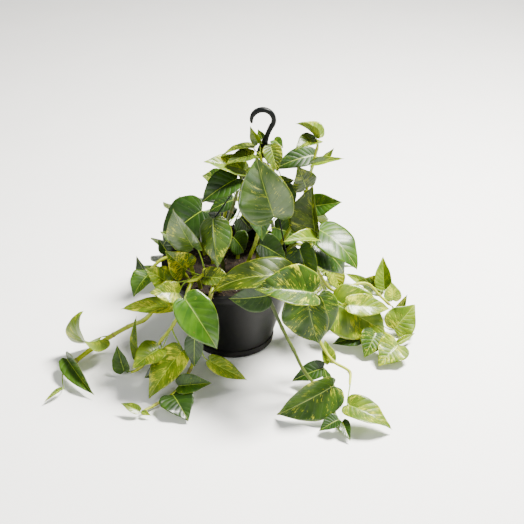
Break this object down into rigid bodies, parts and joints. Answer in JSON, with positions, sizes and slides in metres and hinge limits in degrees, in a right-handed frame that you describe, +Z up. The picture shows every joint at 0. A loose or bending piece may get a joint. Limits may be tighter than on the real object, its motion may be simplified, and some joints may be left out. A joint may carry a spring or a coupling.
{
  "type": "potted pothos plant",
  "caption": "Trailing pothos with variegated heart-shaped leaves in a round hanging basket with a clip-on saucer and a hooked strand hanger, standing on the floor.",
  "frame": {"origin": "centre of the saucer's flat underside, on the floor", "axes": "+Z up, +Y away from the front, +X to the right seen from the front"},
  "size_m": [0.6607, 0.6239, 0.4626],
  "materials": {
    "pot_plastic": "satin",
    "hanger_plastic": "satin",
    "soil": "matte",
    "foliage": "satin"
  },
  "bodies": {
    "root": {"hanging_pot": "pot_plastic", "saucer": "pot_plastic", "potting_soil": "soil", "hanger_hook": "hanger_plastic", "hanger_strand_1": "hanger_plastic", "hanger_strand_2": "hanger_plastic", "hanger_strand_3": "hanger_plastic", "vine_crown": "foliage", "vine_crown_back": "foliage", "vine_top_right": "foliage", "vine_top_left": "foliage", "vine_right": "foliage", "vine_right_back": "foliage", "vine_left": "foliage", "vine_left_low": "foliage", "vine_front_left": "foliage", "vine_front_floor": "foliage", "vine_far_left": "foliage", "vine_front": "foliage", "vine_front_right": "foliage", "vine_right_floor": "foliage", "vine_right_thin": "foliage", "vine_arch": "foliage", "vine_low_right": "foliage", "vine_back_1": "foliage", "vine_back_2": "foliage", "vine_back_3": "foliage", "vine_back_4": "foliage", "vine_back_5": "foliage", "vine_back_6": "foliage", "vine_climber_1": "foliage", "vine_climber_2": "foliage"}
  },
  "joints": []
}
